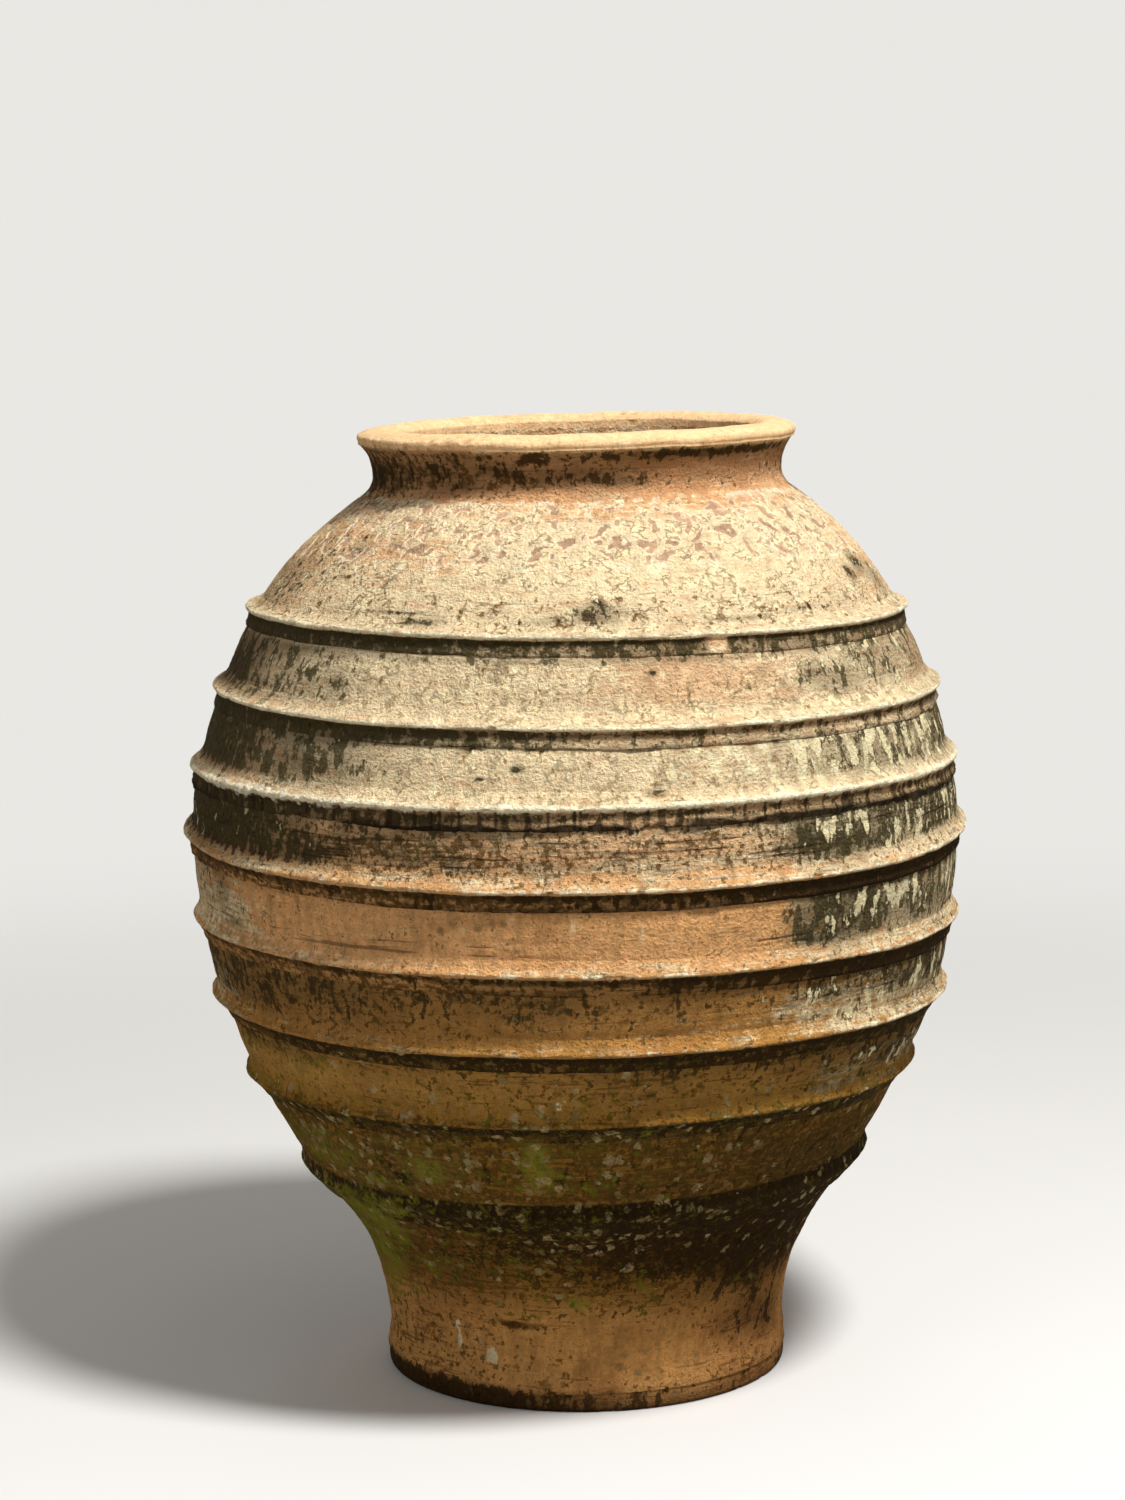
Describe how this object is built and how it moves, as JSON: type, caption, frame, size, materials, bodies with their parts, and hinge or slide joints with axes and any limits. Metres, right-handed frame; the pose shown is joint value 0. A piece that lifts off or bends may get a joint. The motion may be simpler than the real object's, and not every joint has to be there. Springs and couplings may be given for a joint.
{
  "type": "olive jar",
  "caption": "Large unglazed terracotta storage jar with raised bands round its swelling body, a short neck, a heavy bevelled lip and a narrow foot.",
  "frame": {"origin": "centre of the underside of the foot, on the surface that the jar stands on", "axes": "+Z is the jar's axis, up through the mouth; X and Y are interchangeable, with -Y towards the camera of the picture"},
  "size_m": [0.824, 0.824, 1],
  "materials": {
    "foot_clay": "unglazed fired clay, mossy and stained",
    "wall_clay": "unglazed fired clay, weathered and lichen-stained",
    "shoulder_clay": "unglazed fired clay with a worn pale slip",
    "rim_clay": "unglazed fired clay, bleached and smooth",
    "band_clay": "unglazed fired clay, crests bleached and chipped"
  },
  "bodies": {
    "root": {"base_slab": "foot_clay", "foot_wall": "foot_clay", "wall_section_1": "wall_clay", "wall_section_2": "wall_clay", "wall_section_3": "wall_clay", "wall_section_4": "wall_clay", "wall_section_5": "wall_clay", "wall_section_6": "wall_clay", "wall_section_7": "wall_clay", "shoulder_wall": "shoulder_clay", "neck_collar": "shoulder_clay", "rim_lip": "rim_clay", "band_1": "band_clay", "band_2": "band_clay", "band_3": "band_clay", "band_4": "band_clay", "band_5": "band_clay", "band_6": "band_clay", "band_7": "band_clay", "band_8": "band_clay"}
  },
  "joints": []
}
